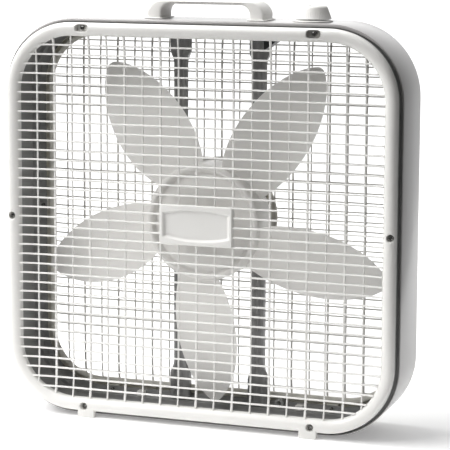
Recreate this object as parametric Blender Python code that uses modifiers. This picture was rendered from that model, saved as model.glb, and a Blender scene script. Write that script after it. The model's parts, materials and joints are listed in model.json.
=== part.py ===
"""Box fan: a steel-wrapped square case, two moulded grilles, a five-blade impeller and its motor.

Metres, +Z up, the front faces -Y. The origin is on the ground, under the middle of the case.
Everything that turns with the shaft lies on one line along Y, through the middle of the case.
"""
import math

import bmesh
import bpy
from mathutils import Vector

MM = 0.001
GAP = 0.3 * MM  # clearance between pieces that touch
SCREW_HOLE = 2.3 * MM  # radius
CORNERS = (("top_left", -1, 1), ("top_right", 1, 1), ("bottom_left", -1, -1), ("bottom_right", 1, -1))

# Case
HALF_WIDTH = 257.5 * MM  # grille frame, outside
HALF_HEIGHT = 250.5 * MM
CORNER_RADIUS = 88 * MM
FOOT_DROP = 8 * MM  # how far the feet reach below the grille frame
LATTICE_Y = 48.5 * MM  # from the middle of the case to each lattice
FRAME_WIDTH = 17 * MM
WRAP_BULGE = 5 * MM  # the steel stands this far outside the grille frames
WRAP_HALF_DEPTH = 46.5 * MM
WRAP_ROLL = 9 * MM  # radius of the rolled edges
WRAP_FLANGE = 18 * MM
SHEET = 0.8 * MM
CENTRE_Z = FOOT_DROP + HALF_HEIGHT
WRAP_TOP = HALF_HEIGHT + WRAP_BULGE  # above the middle of the case
CORNER_STEPS = 5

# Lattice: every third row of the finger guard, and the columns that carry the rows
ROW_PITCH = 36.96 * MM
ROWS = 13
COLUMN_PITCH = 48.2 * MM
COLUMNS = (-3, 0, 3)
ROW_HEIGHT = 2.2 * MM
COLUMN_WIDTH = 2.8 * MM

# Grille screws: distance from the frame's outer edge, and places along it
SCREW_INSET = 6.5 * MM
SCREW_X = 152 * MM
FOOT_X = 149 * MM
GLAND_X = 83 * MM
TAB_X = 110 * MM
TAB_Y = -245.5 * MM

# Impeller
BLADES = 5
TIP_RADIUS = 238 * MM
HUB_RADIUS = 74.5 * MM
WIDEST_RADIUS = 143 * MM
HALF_CHORD = 45.5 * MM
SWEEP = 0.059  # sideways lean of a blade's middle line for each unit of radius
UNSWEPT_RADIUS = 222 * MM
BLADE_THICKNESS = 2 * MM
SHAFT_RADIUS = 4 * MM

# Motor struts
STRUT_X = 53.5 * MM
STRUT_FRONT_Y = 35.5 * MM
STRUT_REACH = 244 * MM
EAR_Z = 28 * MM
STRUT_SCREW_Z = 240.5 * MM

# Top controls
HANDLE_HALF_LENGTH = 77.5 * MM
HANDLE_HALF_DEPTH = 20 * MM
HANDLE_HEIGHT = 24 * MM
HANDLE_LEG_X = 68 * MM
KNOB_X = 135 * MM
BUSHING_RADIUS = 5 * MM
SPINDLE_RADIUS = 3 * MM

# Finishes: colour, roughness, metallic
WHITE = ((0.86, 0.85, 0.82), 0.42, 0.0)
STEEL = ((0.50, 0.48, 0.48), 0.45, 0.3)
DARK_STEEL = ((0.06, 0.06, 0.065), 0.30, 0.6)
BLADE = ((0.62, 0.61, 0.59), 0.38, 0.0)
ZINC = ((0.62, 0.61, 0.58), 0.32, 1.0)
BLACK = ((0.03, 0.03, 0.03), 0.50, 0.0)
BRONZE = ((0.48, 0.30, 0.14), 0.50, 1.0)
COPPER = ((0.58, 0.24, 0.09), 0.35, 0.9)
CLEAR = ((0.75, 0.75, 0.72), 0.40, 0.0)


def clear_scene():
    for old in list(bpy.data.objects):
        bpy.data.objects.remove(old, do_unlink=True)


def new_collection(name):
    made = bpy.data.collections.new(name)
    bpy.context.scene.collection.children.link(made)
    return made


def new_material(node, finish):
    """One material for each piece, named after it."""
    colour, roughness, metallic = finish
    made = bpy.data.materials.new(node + "_material")
    made.use_nodes = True
    surface = made.node_tree.nodes["Principled BSDF"]
    surface.inputs["Base Color"].default_value = (*colour, 1)
    surface.inputs["Roughness"].default_value = roughness
    surface.inputs["Metallic"].default_value = metallic
    made.diffuse_color = (*colour, 1)
    return made


def new_frame(name, location, rotation=(0, 0, 0)):
    """An empty that carries pieces drawn in its own axes."""
    frame = bpy.data.objects.new(name, None)
    parts.objects.link(frame)
    frame.location = location
    frame.rotation_euler = rotation
    return frame


def piece(obj, name, finish, frame=None):
    """Name a finished object, give it its material and hang it on its frame."""
    obj.name = name
    obj.data.name = name
    obj.data.materials.clear()
    obj.data.materials.append(new_material(name, finish))
    obj.parent = frame
    return obj


def cutter(obj, frame=None):
    """Set an object aside as a tool for cutting or joining."""
    parts.objects.unlink(obj)
    cutters.objects.link(obj)
    obj.hide_render = True
    obj.display_type = "WIRE"
    obj.parent = frame
    return obj


def combine(target, tool, operation):
    step = target.modifiers.new(operation.lower(), "BOOLEAN")
    step.operation = operation
    step.object = tool
    step.solver = "EXACT"


def from_bmesh(bm, name="shape"):
    mesh = bpy.data.meshes.new(name)
    bm.to_mesh(mesh)
    bm.free()
    obj = bpy.data.objects.new(name, mesh)
    parts.objects.link(obj)
    return obj


def boxes(entries):
    """One object from (centre, size) boxes that don't touch each other."""
    bm = bmesh.new()
    for centre, size in entries:
        corners = bmesh.ops.create_cube(bm, size=1)["verts"]
        bmesh.ops.scale(bm, vec=size, verts=corners)
        bmesh.ops.translate(bm, vec=centre, verts=corners)
    return from_bmesh(bm)


def cylinders(entries, segments=12):
    """One object from (centre, radius, length) cylinders along local Z."""
    bm = bmesh.new()
    for centre, radius, length in entries:
        drum = bmesh.ops.create_cone(bm, cap_ends=True, segments=segments,
                                     radius1=radius, radius2=radius, depth=length)["verts"]
        bmesh.ops.translate(bm, vec=centre, verts=drum)
    return from_bmesh(bm)


def arc(centre, radius, start, end, steps):
    """Points along an arc, angles in degrees."""
    points = []
    for i in range(steps + 1):
        angle = math.radians(start + (end - start) * i / steps)
        points.append((centre[0] + radius * math.cos(angle), centre[1] + radius * math.sin(angle)))
    return points


def rounded_outline(half_x, half_y, radius, steps=CORNER_STEPS):
    x, y = half_x - radius, half_y - radius
    return (arc((x, y), radius, 0, 90, steps) + arc((-x, y), radius, 90, 180, steps)
            + arc((-x, -y), radius, 180, 270, steps) + arc((x, -y), radius, 270, 360, steps))


def outline_curve(points, name="outline"):
    data = bpy.data.curves.new(name, "CURVE")
    data.dimensions = "2D"
    spline = data.splines.new("POLY")
    spline.points.add(len(points) - 1)
    for point, (x, y) in zip(spline.points, points):
        point.co = (x, y, 0, 1)
    spline.use_cyclic_u = True
    obj = bpy.data.objects.new(name, data)
    parts.objects.link(obj)
    return obj


def mesh_from(curve):
    """Turn a curve object into a mesh object with its caps welded."""
    bpy.context.view_layer.update()
    evaluated = curve.evaluated_get(bpy.context.evaluated_depsgraph_get())
    mesh = bpy.data.meshes.new_from_object(evaluated)
    bm = bmesh.new()
    bm.from_mesh(mesh)
    bmesh.ops.remove_doubles(bm, verts=bm.verts, dist=1e-6)
    bmesh.ops.recalc_face_normals(bm, faces=bm.faces)
    bm.to_mesh(mesh)
    bm.free()
    obj = bpy.data.objects.new("shape", mesh)
    parts.objects.link(obj)
    obj.matrix_world = curve.matrix_world
    bpy.data.objects.remove(curve, do_unlink=True)
    return obj


def slab(points, thickness):
    """A flat outline, centred on its own plane."""
    curve = outline_curve(points)
    curve.data.fill_mode = "BOTH"
    curve.data.extrude = thickness / 2
    return mesh_from(curve)


def swept_ring(half_x, half_y, radius, section):
    """A section of (inset, forward) points swept round a rounded rectangle."""
    path = outline_curve(rounded_outline(half_x, half_y, radius))
    path.data.fill_mode = "NONE"
    profile = outline_curve(section, "section")
    path.data.bevel_mode = "OBJECT"
    path.data.bevel_object = profile
    ring = mesh_from(path)
    bpy.data.objects.remove(profile, do_unlink=True)
    return ring


def turned(profile, segments=18, closed=True):
    """A profile of (radius, height) points turned about local Z.

    Rings run outward over the top and down the outside. Solids that reach the axis
    start and end on it, and aren't closed.
    """
    bm = bmesh.new()
    corners = [bm.verts.new((radius, 0, height)) for radius, height in profile]
    for first, second in zip(corners, corners[1:]):
        bm.edges.new((first, second))
    if closed:
        bm.edges.new((corners[-1], corners[0]))
    obj = from_bmesh(bm)
    turn = obj.modifiers.new("turn", "SCREW")
    turn.axis = "Z"
    turn.steps = segments
    turn.render_steps = segments
    turn.use_merge_vertices = True
    turn.merge_threshold = 1e-5
    turn.use_smooth_shade = True
    return obj


def soften(obj, width, segments=2, angle=40):
    edge = obj.modifiers.new("round", "BEVEL")
    edge.width = width
    edge.segments = segments
    edge.limit_method = "ANGLE"
    edge.angle_limit = math.radians(angle)
    edge.use_clamp_overlap = True


def half_span(across, half_this, half_other, radius):
    """How far a rounded rectangle reaches at a distance off its middle line."""
    over = abs(across) - (half_other - radius)
    if over <= 0:
        return half_this
    return half_this - radius + math.sqrt(radius ** 2 - over ** 2)


def grille_screw_places():
    """(x, y, is a top one) of the six screws, in the plane of the grille."""
    top = HALF_HEIGHT - SCREW_INSET
    side = HALF_WIDTH - SCREW_INSET
    return [(-SCREW_X, top, True), (SCREW_X, top, True), (-SCREW_X, -top, False),
            (SCREW_X, -top, False), (-side, 0, False), (side, 0, False)]


def frame_section():
    """Hollow moulded section, (inset from the outer edge, forward of the lattice)."""
    outside = [(0, -2.5), (0, 2.2), (1.2, 5.4), (3.6, 7.4), (7, 8), (11.4, 7.2), (15, 4.8), (17, 0),
               (17, -2.8)]
    inside = [(15, -2.8), (15, 0), (13.5, 3.2), (10.6, 5.2), (7, 6), (3.6, 4.6), (1.8, -1.9)]
    return [(u * MM, v * MM) for u, v in outside + inside]


def lattice_rows():
    wall = FRAME_WIDTH - 1 * MM
    entries = []
    for i in range(ROWS):
        y = (i - (ROWS - 1) / 2) * ROW_PITCH
        reach = half_span(y, HALF_WIDTH - wall, HALF_HEIGHT - wall, CORNER_RADIUS - wall)
        entries.append(((0, y, 0.3 * MM), (2 * reach, ROW_HEIGHT, 2.6 * MM)))
    return boxes(entries)


def lattice_columns():
    wall = FRAME_WIDTH - 1 * MM
    entries = []
    for k in COLUMNS:
        x = k * COLUMN_PITCH
        reach = half_span(x, HALF_HEIGHT - wall, HALF_WIDTH - wall, CORNER_RADIUS - wall)
        entries.append(((x, 0, -1.3 * MM), (COLUMN_WIDTH, 2 * reach, 2.6 * MM)))
    return boxes(entries)


def add_grille(name, frame, slotted, gland_x=None):
    """Frame, feet, screw bosses and lattice, moulded as one piece."""
    grille = swept_ring(HALF_WIDTH, HALF_HEIGHT, CORNER_RADIUS, frame_section())
    piece(grille, name, WHITE, frame)
    places = grille_screw_places()
    bosses = []
    for x, y, top in places:
        size = (10.8 * MM, 15 * MM) if abs(y) < MM else ((20 if slotted and top else 15) * MM, 10.8 * MM)
        bosses.append(((x, y, 1.9 * MM), (*size, 7.2 * MM)))
    if gland_x is not None:
        bosses.append(((gland_x, -HALF_HEIGHT + 8 * MM, 1.9 * MM), (18 * MM, 13 * MM, 7.2 * MM)))
    combine(grille, cutter(boxes(bosses), frame), "UNION")

    feet = boxes([((side * FOOT_X, -HALF_HEIGHT - 1 * MM, 2 * MM), (23 * MM, 14 * MM, 8 * MM))
                  for side in (-1, 1)])
    soften(feet, 1.5 * MM, 1)
    combine(grille, cutter(feet, frame), "UNION")

    floor = 0.8 * MM  # seat of the screw heads
    depth = 12 * MM
    round_pockets = [(x, y) for x, y, top in places if not (slotted and top)]
    pockets = [((x, y, floor + depth / 2), 4.8 * MM, depth) for x, y in round_pockets]
    if gland_x is not None:
        pockets.append(((gland_x, -HALF_HEIGHT + 9 * MM, 3 * MM + depth / 2), 6.6 * MM, depth))
    combine(grille, cutter(cylinders(pockets), frame), "DIFFERENCE")
    if slotted:
        for x, y, top in places:
            if top:
                slot = slab(rounded_outline(8 * MM, 4.5 * MM, 3.5 * MM, 2), depth)
                slot.location = (x, y, floor + depth / 2)
                combine(grille, cutter(slot, frame), "DIFFERENCE")
    holes = [((x, y, 0), SCREW_HOLE, 20 * MM) for x, y, _ in places]
    if gland_x is not None:
        holes.append(((gland_x, -HALF_HEIGHT + 9 * MM, 0), 4.3 * MM, 20 * MM))
    combine(grille, cutter(cylinders(holes, 8), frame), "DIFFERENCE")

    combine(grille, cutter(lattice_columns(), frame), "UNION")
    combine(grille, cutter(lattice_rows(), frame), "UNION")
    return grille


def add_front_grille(frame):
    grille = add_grille("front_grille", frame, True)
    plate = boxes([((0, 0, 0.75 * MM), (96 * MM, 50.8 * MM, 4.5 * MM))])
    combine(grille, cutter(plate, frame), "UNION")
    # The blank badge: upright ends, arched top and bottom.
    sagitta, half = 5 * MM, 44 * MM
    bend = (half ** 2 + sagitta ** 2) / (2 * sagitta)
    spread = math.degrees(math.asin(half / bend))
    side = 15.5 * MM
    lid = arc((0, side + sagitta - bend), bend, 90 - spread, 90 + spread, 8)
    base = arc((0, bend - sagitta - side), bend, 270 - spread, 270 + spread, 8)
    badge = slab(lid + base, 6 * MM)
    badge.location = (0, 0, 3.5 * MM)
    combine(grille, cutter(badge, frame), "DIFFERENCE")


def add_rear_grille(frame):
    grille = add_grille("rear_grille", frame, False, -GLAND_X)
    disc = turned([(0, 2.2 * MM), (71 * MM, 2.2 * MM), (76 * MM, 0.8 * MM), (76 * MM, -3 * MM),
                   (73.5 * MM, -3 * MM), (73.5 * MM, -1.5 * MM), (0, -1.5 * MM)], 24, False)
    combine(grille, cutter(disc, frame), "UNION")
    tabs = boxes([((side * TAB_X, TAB_Y, -3.5 * MM), (10 * MM, 7 * MM, 16 * MM)) for side in (-1, 1)])
    combine(grille, cutter(tabs, frame), "UNION")


def add_wrap(frame):
    """Bent steel band with rolled edges and turned-in flanges."""
    bend = WRAP_HALF_DEPTH - WRAP_ROLL
    outer = [(WRAP_FLANGE, WRAP_HALF_DEPTH)]
    outer += arc((WRAP_ROLL, bend), WRAP_ROLL, 90, 180, 2)
    outer += arc((WRAP_ROLL, -bend), WRAP_ROLL, 180, 270, 2)
    outer += [(WRAP_FLANGE, -WRAP_HALF_DEPTH)]
    inner = [(WRAP_FLANGE, -WRAP_HALF_DEPTH + SHEET)]
    inner += arc((WRAP_ROLL, -bend), WRAP_ROLL - SHEET, 270, 180, 2)
    inner += arc((WRAP_ROLL, bend), WRAP_ROLL - SHEET, 180, 90, 2)
    inner += [(WRAP_FLANGE, WRAP_HALF_DEPTH - SHEET)]
    wrap = swept_ring(HALF_WIDTH + WRAP_BULGE, HALF_HEIGHT + WRAP_BULGE, CORNER_RADIUS + WRAP_BULGE,
                      outer + inner)
    piece(wrap, "housing_wrap", STEEL, frame)
    holes = []
    for side in (-1, 1):
        for x, y, _ in grille_screw_places():
            holes.append(((x, y, side * WRAP_HALF_DEPTH), SCREW_HOLE, 6 * MM))
    for x in (-STRUT_X, STRUT_X):
        for y in (-STRUT_SCREW_Z, STRUT_SCREW_Z):
            holes.append(((x, y, -WRAP_HALF_DEPTH), SCREW_HOLE, 6 * MM))
    combine(wrap, cutter(cylinders(holes, 6), frame), "DIFFERENCE")
    notches = [((GLAND_X, -HALF_HEIGHT + 11 * MM, -WRAP_HALF_DEPTH), (8.6 * MM, 13 * MM, 6 * MM))]
    notches += [((side * TAB_X, TAB_Y, -WRAP_HALF_DEPTH), (11 * MM, 8 * MM, 6 * MM)) for side in (-1, 1)]
    combine(wrap, cutter(boxes(notches), frame), "DIFFERENCE")
    top = CENTRE_Z + WRAP_TOP
    drilled = [((KNOB_X, 0, top), BUSHING_RADIUS + GAP, 6 * MM)]
    drilled += [((side * HANDLE_LEG_X, 0, top), SCREW_HOLE, 6 * MM) for side in (-1, 1)]
    combine(wrap, cutter(cylinders(drilled)), "DIFFERENCE")


def add_screw(name, shank, frame, location, rotation=(0, 0, 0)):
    """Pan-head screw: the seat of its head is at its origin, the shank points down."""
    screw = turned([(0, 2.4 * MM), (2.4 * MM, 2 * MM), (3.5 * MM, 0.8 * MM), (3.5 * MM, 0),
                    (1.9 * MM, 0), (1.9 * MM, -shank), (0, -shank)], 8, False)
    piece(screw, name, ZINC, frame)
    screw.location = location
    screw.rotation_euler = rotation
    return screw


def add_grille_screws(prefix, frame):
    names = ("top_left", "top_right", "bottom_left", "bottom_right", "side_left", "side_right")
    for name, (x, y, _) in zip(names, grille_screw_places()):
        add_screw(prefix + "_screw_" + name, 10 * MM, frame, (x, y, 1.1 * MM))


def add_strut(name, x, holes_for_lead):
    """Pressed channel, open to the rear, with two grooves and a wide flat foot at each end."""
    front = [(-7, 0.3), (-4.8, 0.1), (-2.8, 1.6), (-0.9, 0), (0.9, 0), (2.8, 1.6), (4.8, 0.1), (7, 0.3)]
    outline = ([(-8.25, 9.5), (-8.25, 1.2)] + front
               + [(8.25, 1.2), (8.25, 9.5), (7.25, 9.5), (7.25, 2.6), (-7.25, 2.6), (-7.25, 9.5)])
    strut = slab([(u * MM, v * MM) for u, v in outline], 2 * STRUT_REACH)
    frame = new_frame(name + "_frame", (x, STRUT_FRONT_Y, CENTRE_Z))
    piece(strut, name, DARK_STEEL, frame)
    across = (math.radians(90), 0, 0)
    for side in (-1, 1):
        foot = slab(rounded_outline(13 * MM, 10 * MM, 3 * MM, 2), 1.2 * MM)
        foot.location = (0, 9.3 * MM, side * (STRUT_REACH - 8.5 * MM))
        foot.rotation_euler = across
        combine(strut, cutter(foot, frame), "UNION")
    drilled = [((0, side * STRUT_SCREW_Z, -9.3 * MM), SCREW_HOLE, 4 * MM) for side in (-1, 1)]
    drilled += [((0, side * EAR_Z, -1.5 * MM), SCREW_HOLE, 6 * MM) for side in (-1, 1)]
    if holes_for_lead:
        drilled.append(((0, 17.5 * MM, -1.5 * MM), 7 * MM, 6 * MM))
    tool = cutter(cylinders(drilled, 8), frame)
    tool.rotation_euler = across
    combine(strut, tool, "DIFFERENCE")


def half_chord(radius):
    """Half the width of a blade at a radius: a rounded petal, widest at WIDEST_RADIUS."""
    reach = TIP_RADIUS + 4 * MM - WIDEST_RADIUS if radius > WIDEST_RADIUS else 103 * MM
    return HALF_CHORD * (1 - ((radius - WIDEST_RADIUS) / reach) ** 2) ** 0.7


def blade_point(along, across):
    """A point of the blade's middle surface; along runs 0 to 1 outward, across -1 to 1."""
    root = HUB_RADIUS - 1.2 * MM
    radius = root + (TIP_RADIUS - root) * along
    chord = half_chord(radius)
    pitch = math.radians(21 - 13 * along)
    rake = (13.5 - 26 * along - 7 * along ** 2) * MM
    height = rake + across * chord * math.tan(pitch) - 0.12 * chord * (1 - across ** 2)
    angle = (across * chord + SWEEP * (radius - UNSWEPT_RADIUS)) / radius
    return Vector((radius * math.cos(angle), radius * math.sin(angle), height))


def add_impeller(frame):
    """Drum hub with a rolled front rim and five pitched blades, all one moulding."""
    rim = arc((70 * MM, 24 * MM), 4.5 * MM, 150, 0, 4)
    face = [(SHAFT_RADIUS + GAP, 27 * MM), (11 * MM, 27 * MM), (12 * MM, 24.5 * MM), (40 * MM, 25.3 * MM),
            (62 * MM, 22.5 * MM)]
    skirt = [(HUB_RADIUS, -24 * MM), (HUB_RADIUS - 2 * MM, -24 * MM)]
    under = [(72.5 * MM, 24 * MM), (70 * MM, 26 * MM), (68 * MM, 25.2 * MM), (62.5 * MM, 20.4 * MM),
             (40 * MM, 23.3 * MM), (11 * MM, 22.5 * MM), (11 * MM, 10.5 * MM),
             (SHAFT_RADIUS + GAP, 10.5 * MM)]
    hub = turned(face + rim + skirt + under, 28)
    piece(hub, "impeller", BLADE, frame)
    for i in range(BLADES):
        bm = bmesh.new()
        bmesh.ops.create_grid(bm, x_segments=7, y_segments=3, size=1)
        for corner in bm.verts:
            corner.co = blade_point((corner.co.x + 1) / 2, corner.co.y)
        blade = from_bmesh(bm)
        skin = blade.modifiers.new("thickness", "SOLIDIFY")
        skin.thickness = BLADE_THICKNESS
        skin.offset = 0
        blade.rotation_euler = (0, 0, math.radians(270 + i * 360 / BLADES))
        combine(hub, cutter(blade, frame), "UNION")


def ring(inner, outer, top, bottom):
    return [(inner, top), (outer, top), (outer, bottom), (inner, bottom)]


def scaled(points):
    return [(radius * MM, height * MM) for radius, height in points]


def add_motor(frame, shaft_frame):
    front_shell = turned(scaled([(8.3, 9), (12.5, 9), (14, 4), (40, 4), (46, -2), (46, -14), (44.5, -14),
                                 (44.5, -1.4), (39.4, 2.5), (10, 2.5), (10, -1), (8.3, -1)]))
    piece(front_shell, "motor_front_shell", DARK_STEEL, frame)

    rear_shell = turned(scaled([(44.5, -14.3), (46, -14.3), (46, -27), (40, -33), (14, -33), (12.5, -38),
                                (8.3, -38), (8.3, -28), (10, -28), (10, -31.5), (39.4, -31.5),
                                (44.5, -26.4)]))
    piece(rear_shell, "motor_rear_shell", DARK_STEEL, frame)
    for side in (-1, 1):
        ear = slab(rounded_outline(61 * MM, 6.5 * MM, 3 * MM, 2), 3.2 * MM)
        ear.location = (0, side * EAR_Z, -33.4 * MM)
        combine(rear_shell, cutter(ear, frame), "UNION")
    ear_holes = [((x, y, -33.4 * MM), SCREW_HOLE, 8 * MM)
                 for x in (-STRUT_X, STRUT_X) for y in (-EAR_Z, EAR_Z)]
    combine(rear_shell, cutter(cylinders(ear_holes, 8), frame), "DIFFERENCE")
    entry = cylinders([((0, 0, 0), 2.8 * MM, 12 * MM)])
    entry.location = (44 * MM, 12 * MM, -22 * MM)
    entry.rotation_euler = (0, math.radians(90), 0)
    combine(rear_shell, cutter(entry, frame), "DIFFERENCE")

    slots = 6
    places = arc((0, 0), 34 * MM, 0, 300, slots - 1)
    core = turned(ring(24 * MM, 44 * MM, -4 * MM, -24 * MM))
    piece(core, "stator_core", ZINC, frame)
    slot_tool = cylinders([((x, y, -14 * MM), 5.3 * MM, 30 * MM) for x, y in places], 10)
    combine(core, cutter(slot_tool, frame), "DIFFERENCE")

    coils = turned(scaled([(27, -2), (29, -0.5), (38, -0.5), (40, -2), (40, -3.7), (27, -3.7)]))
    piece(coils, "stator_winding", COPPER, frame)
    rear_coil = turned(scaled([(27, -24.3), (40, -24.3), (40, -27), (38, -29), (29, -29), (27, -27)]))
    rods = cylinders([((x, y, -14 * MM), 4.9 * MM, 22 * MM) for x, y in places], 10)
    combine(coils, cutter(rods, frame), "UNION")
    combine(coils, cutter(rear_coil, frame), "UNION")

    rotor = turned(scaled([(4.3, -3), (14, -3), (15, -2), (22, -2), (23.4, -4), (23.4, -24), (22, -26),
                           (15, -26), (14, -25), (4.3, -25)]))
    piece(rotor, "rotor_core", ZINC, shaft_frame)
    shaft = turned(scaled([(0, 36), (3.4, 36), (4, 35.2), (4, -36.5), (3.4, -37), (0, -37)]), 16, False)
    piece(shaft, "motor_shaft", ZINC, shaft_frame)
    nut = turned(scaled([(4.3, 33), (6.5, 33), (8.5, 31.5), (9, 27.4), (4.3, 27.4)]), 12)
    piece(nut, "hub_nut", BLACK, shaft_frame)
    for name, top, bottom in (("front_bearing", 8.6, -0.6), ("rear_bearing", -28.4, -37.6)):
        bearing = turned(ring(4.3 * MM, 8 * MM, top * MM, bottom * MM), 16)
        piece(bearing, name, BRONZE, frame)
    for name, x, y in CORNERS:
        add_screw("motor_screw_" + name, 6 * MM, frame, (x * STRUT_X, y * EAR_Z, -31.5 * MM))


def add_handle():
    """Deep moulded strap that bridges the top, with a thin flange round each leg."""
    half = HANDLE_HALF_LENGTH
    height = HANDLE_HEIGHT
    outer = arc((half - 20 * MM, height - 20 * MM), 20 * MM, 0, 90, 4)
    inner = arc((46.5 * MM, 7 * MM), 12 * MM, 90, 0, 3)
    right = [(half, 0)] + outer
    left = [(-x, y) for x, y in reversed(right)]
    under = [(58.5 * MM, 0)] + list(reversed(inner))
    opening = [(-x, y) for x, y in under] + list(reversed(under))
    strap = slab(right + left + opening, 2 * HANDLE_HALF_DEPTH)
    frame = new_frame("handle_frame", (0, 0, CENTRE_Z + WRAP_TOP + GAP), (math.radians(90), 0, 0))
    piece(strap, "carry_handle", WHITE, frame)
    flange = boxes([((side * HANDLE_LEG_X, 0.8 * MM, 0), (25 * MM, 1.5 * MM, 46 * MM)) for side in (-1, 1)])
    combine(strap, cutter(flange, frame), "UNION")
    pilot = cylinders([((side * HANDLE_LEG_X, 0, 0), SCREW_HOLE, 20 * MM) for side in (-1, 1)])
    pilot.rotation_euler = (math.radians(90), 0, 0)
    combine(strap, cutter(pilot, frame), "DIFFERENCE")
    upward = (math.radians(180), 0, 0)
    for name, side in (("left", -1), ("right", 1)):
        seat = CENTRE_Z + WRAP_TOP - SHEET - GAP
        add_screw("handle_screw_" + name, 9.5 * MM, None, (side * HANDLE_LEG_X, 0, seat), upward)


def add_controls():
    """Rotary switch under the top, its dial plate, nut, spindle and knob, and the run capacitor."""
    base = new_frame("control_frame", (KNOB_X, 0, CENTRE_Z + WRAP_TOP))
    spin = new_frame("knob_axis", (KNOB_X, 0, CENTRE_Z + WRAP_TOP))
    under = -SHEET - GAP

    body = boxes([((0, 0, under - 9.5 * MM), (36 * MM, 30 * MM, 19 * MM))])
    piece(body, "switch_body", BLACK, base)
    bushing = cylinders([((0, 0, 1.5 * MM), BUSHING_RADIUS, 9 * MM)])
    combine(body, cutter(bushing, base), "UNION")
    bore = cylinders([((0, 0, 0), SPINDLE_RADIUS + GAP, 20 * MM)])
    combine(body, cutter(bore, base), "DIFFERENCE")

    dial = turned(ring(BUSHING_RADIUS + GAP, 25 * MM, 2.1 * MM, GAP), 24)
    piece(dial, "dial_plate", WHITE, base)
    flat_bore = (BUSHING_RADIUS + GAP) / math.cos(math.radians(30))
    nut = turned(ring(flat_bore, 8 * MM, 4.9 * MM, 2.4 * MM), 6)
    piece(nut, "switch_nut", ZINC, base)

    spindle = turned(scaled([(0, 16.6), (2.6, 16.6), (3, 16.2), (3, -9.4), (0, -9.4)]), 12, False)
    piece(spindle, "switch_spindle", ZINC, spin)
    knob = turned(scaled([(0, 20.5), (14.5, 20.5), (17.2, 19.8), (18.4, 18), (20.6, 11), (22.6, 5.4),
                          (23.3, 3.7), (9.5, 3.7), (9.5, 9), (3.3, 9), (3.3, 17), (0, 17)]), 24, False)
    piece(knob, "speed_knob", WHITE, spin)
    pointer = boxes([((0, -9.5 * MM, 20.8 * MM), (2.2 * MM, 13 * MM, 1.4 * MM))])
    combine(knob, cutter(pointer, spin), "UNION")

    cover = boxes([((-17 * MM, 0, -12.6 * MM), (80 * MM, 40 * MM, 22.4 * MM))])
    piece(cover, "control_cover", BLACK, base)
    gusset = slab([(-57 * MM, -22.8 * MM), (-57 * MM, -35.4 * MM), (-56 * MM, -35.6 * MM),
                   (-39 * MM, -22.8 * MM)], 23 * MM)
    gusset.location = (0, -8.5 * MM, 0)
    gusset.rotation_euler = (math.radians(90), 0, 0)
    combine(cover, cutter(gusset, base), "UNION")
    hollow = boxes([((-17 * MM, 0, -9.8 * MM), (76.4 * MM, 36.4 * MM, 24 * MM))])
    combine(cover, cutter(hollow, base), "DIFFERENCE")
    exit_hole = cylinders([((0, 0, 0), 3 * MM, 8 * MM)])
    exit_hole.location = (-56 * MM, 10 * MM, -9 * MM)
    exit_hole.rotation_euler = (0, math.radians(90), 0)
    combine(cover, cutter(exit_hole, base), "DIFFERENCE")

    capacitor = boxes([((-37 * MM, -3 * MM, under - 9.5 * MM), (28 * MM, 20 * MM, 19 * MM))])
    piece(capacitor, "run_capacitor", BLACK, base)
    soften(capacitor, 1.5 * MM)


def smooth_route(points, samples):
    """Points along a smooth line that passes through the given ones."""
    ends = [points[0] * 2 - points[1]] + points + [points[-1] * 2 - points[-2]]
    route = []
    for a, b, c, d in zip(ends, ends[1:], ends[2:], ends[3:]):
        for i in range(samples):
            t = i / samples
            route.append(0.5 * (2 * b + (c - a) * t + (2 * a - 5 * b + 4 * c - d) * t ** 2
                                + (3 * b - a - 3 * c + d) * t ** 3))
    return route + [points[-1]]


def add_motor_lead():
    """Sheathed lead from the switch, along the top, down inside the right strut, to the motor."""
    through = [(103, 10, 246.5), (90, 10, 246.5), (78, 10, 246.5), (68, 20, 249), (60, 33, 251),
               (54.5, 40, 250.5), (53.5, 40.6, 244), (53.5, 40.6, 200), (53.5, 40.6, 140),
               (53.5, 40.6, 80), (53.5, 40.6, 34), (53.5, 40, 24), (53.5, 36.5, 15), (52.6, 29.5, 12.4),
               (49.8, 24, 12), (46.8, 22, 12), (43, 22, 12)]
    points = smooth_route([Vector((x, y, z)) * MM for x, y, z in through], 2)
    data = bpy.data.curves.new("motor_lead", "CURVE")
    data.dimensions = "3D"
    data.bevel_depth = 2 * MM
    data.bevel_resolution = 2
    data.use_fill_caps = True
    spline = data.splines.new("POLY")
    spline.points.add(len(points) - 1)
    for point, place in zip(spline.points, points):
        point.co = (*place, 1)
    lead = bpy.data.objects.new("motor_lead", data)
    parts.objects.link(lead)
    lead.location = (0, 0, CENTRE_Z)
    piece(mesh_from(lead), "motor_lead", BLACK)


def add_cord_gland(frame):
    """Strain-relief bushing that the supply cord would pass through."""
    gland = turned(scaled([(2.8, 6), (5.4, 6), (6.2, 5.2), (6.2, 3.3), (4, 3.3), (4, -3.6), (5.6, -3.9),
                           (5.6, -10), (4.6, -11), (2.8, -11)]), 12)
    piece(gland, "cord_gland", CLEAR, frame)
    gland.location = (-GLAND_X, -HALF_HEIGHT + 9 * MM, 0)


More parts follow.
